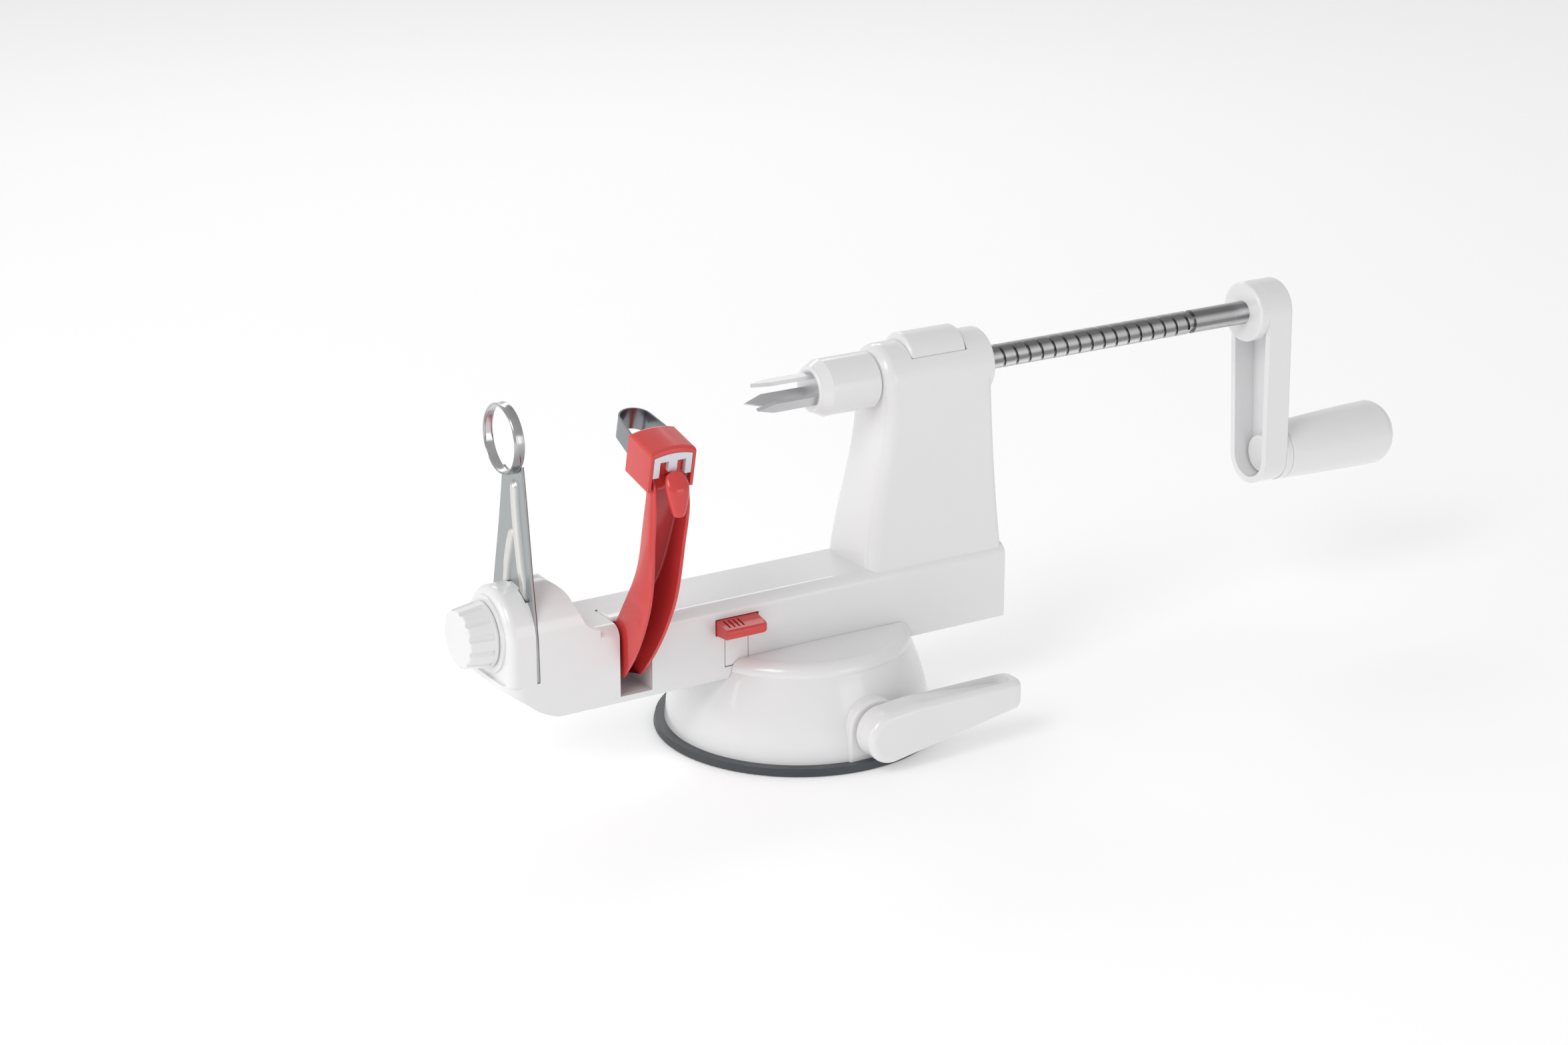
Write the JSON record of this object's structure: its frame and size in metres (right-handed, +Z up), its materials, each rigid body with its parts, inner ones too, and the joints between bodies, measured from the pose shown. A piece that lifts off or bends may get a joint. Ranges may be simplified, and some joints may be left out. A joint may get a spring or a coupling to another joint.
{
  "type": "apple peeler",
  "caption": "Hand cranked apple peeler and corer on a suction foot, with a screw fed fork, a sprung peeling arm and a clamped coring blade.",
  "frame": {"origin": "centre of the suction foot, on the counter", "axes": "+X along the spindle to the crank, +Y away from the peeling arm, +Z up"},
  "size_m": [0.4604, 0.1286, 0.1586],
  "materials": {
    "white_plastic": "glossy white moulding",
    "knob_plastic": "satin white moulding",
    "red_plastic": "glossy red moulding",
    "clip_plastic": "matte off-white",
    "rubber": "dark grey rubber",
    "steel": "bright stainless steel"
  },
  "bodies": {
    "base": {"suction_cup": "rubber", "base_dome": "white_plastic", "frame": "white_plastic", "floor_plate": "white_plastic", "base_screws": "steel", "floor_screws": "steel", "barrel_bush": "white_plastic", "arm_pin": "steel", "corer_blade": "steel", "clamp_stud": "steel", "clamp_nut": "steel"},
    "lever": {"suction_lever": "white_plastic", "cam_shaft": "steel"},
    "cup": {"cup_core": "rubber", "cup_stud": "steel"},
    "latch": {"latch_cap": "white_plastic", "feed_tooth": "steel"},
    "sleeve": {"spindle_sleeve": "white_plastic"},
    "spindle_unit": {"spindle": "steel", "fork_hub": "white_plastic", "fork_prongs": "steel", "crank_arm": "white_plastic", "crank_pin": "steel", "grip_pin": "white_plastic"},
    "grip": {"crank_grip": "white_plastic"},
    "arm": {"peel_arm": "red_plastic", "head_cap": "red_plastic", "loop_blade": "steel", "blade_clip": "clip_plastic", "thumb_tab": "red_plastic"},
    "release": {"release_tongue": "white_plastic", "release_button": "red_plastic"},
    "clamp": {"blade_clamp": "white_plastic", "clamp_washer": "steel"},
    "knob": {"clamp_knob": "knob_plastic"}
  },
  "joints": [
    {"name": "lever_turn", "type": "hinge", "parent": "base", "child": "lever", "pos_m": [0.0025, -0.06, 0.016], "axis": [0, -1, 0], "range_deg": [0, 150]},
    {"name": "cup_pull", "type": "slide", "parent": "base", "child": "cup", "axis": [0, 0, 1], "range_m": [-0.00262, 0]},
    {"name": "latch_press", "type": "slide", "parent": "base", "child": "latch", "axis": [0, 0, -1], "range_m": [0, 0.0022], "stiffness_N_per_m": 400, "springref_m": -0.002},
    {"name": "sleeve_turn", "type": "hinge", "parent": "base", "child": "sleeve", "pos_m": [0.08, 0, 0.1415], "axis": [1, 0, 0], "range_deg": [-7560, 0]},
    {"name": "spindle_feed", "type": "slide", "parent": "sleeve", "child": "spindle_unit", "axis": [1, 0, 0], "range_m": [-0.13441, 0]},
    {"name": "grip_spin", "type": "hinge", "parent": "spindle_unit", "child": "grip", "pos_m": [0.25, -0.00298, 0.07577], "axis": [1, 0, 0], "continuous": true},
    {"name": "arm_swing", "type": "hinge", "parent": "base", "child": "arm", "pos_m": [-0.0852, -0.008, 0.05], "axis": [1, 0, 0], "range_deg": [0, 50], "stiffness_Nm_per_rad": 0.3, "springref_deg": -20.05},
    {"name": "release_press", "type": "hinge", "parent": "base", "child": "release", "pos_m": [-0.03985, -0.0177, 0.0401], "axis": [-1, 0, 0], "range_deg": [0, 6], "stiffness_Nm_per_rad": 0.4, "springref_deg": -1.15},
    {"name": "clamp_slide", "type": "slide", "parent": "base", "child": "clamp", "axis": [-1, 0, 0], "range_m": [0, 0.0025]},
    {"name": "knob_turn", "type": "hinge", "parent": "clamp", "child": "knob", "pos_m": [-0.147, 0, 0.0668], "axis": [-1, 0, 0], "range_deg": [0, 720]}
  ],
  "couplings": [
    {"joint": "cup_pull", "follows": "lever_turn", "m_per_rad": -0.00099695},
    {"joint": "spindle_feed", "follows": "sleeve_turn", "m_per_rad": 0.0010186},
    {"joint": "clamp_slide", "follows": "knob_turn", "m_per_rad": 0.00019875}
  ]
}
